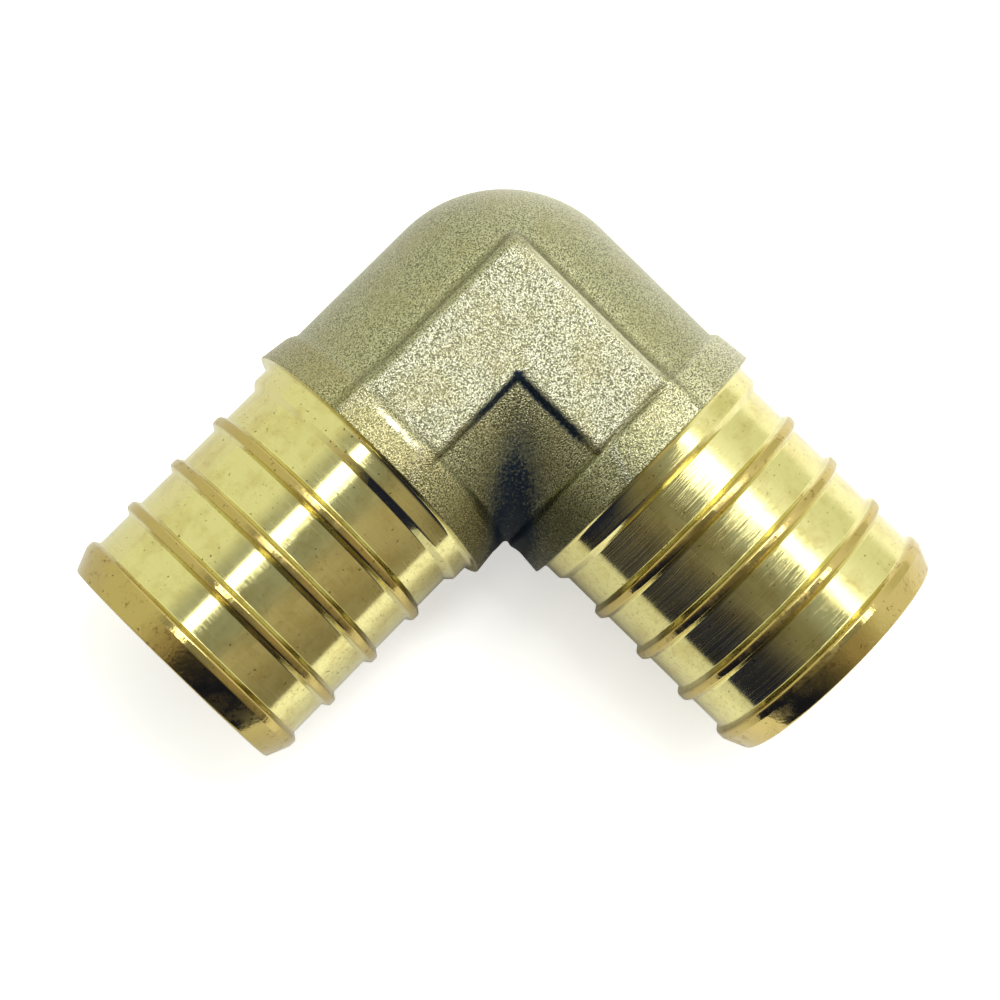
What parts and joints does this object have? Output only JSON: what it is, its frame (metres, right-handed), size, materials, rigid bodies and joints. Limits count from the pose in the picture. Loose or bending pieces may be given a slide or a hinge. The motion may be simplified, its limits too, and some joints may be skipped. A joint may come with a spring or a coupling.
{
  "type": "pex elbow",
  "caption": "Forged brass right-angle elbow with a ribbed insert spigot on each leg, stop collars and a flat L-shaped pad, joining two plastic water pipes at a corner.",
  "frame": {"origin": "where the two bore axes cross, in the parting plane of the forging", "axes": "+X out of the run leg along its bore, +Y out of the branch leg along its bore, +Z square to both, out of one pad"},
  "size_m": [0.049, 0.049, 0.0238],
  "materials": {
    "brass": "satin"
  },
  "bodies": {
    "root": {"elbow_body": "brass"}
  },
  "joints": []
}
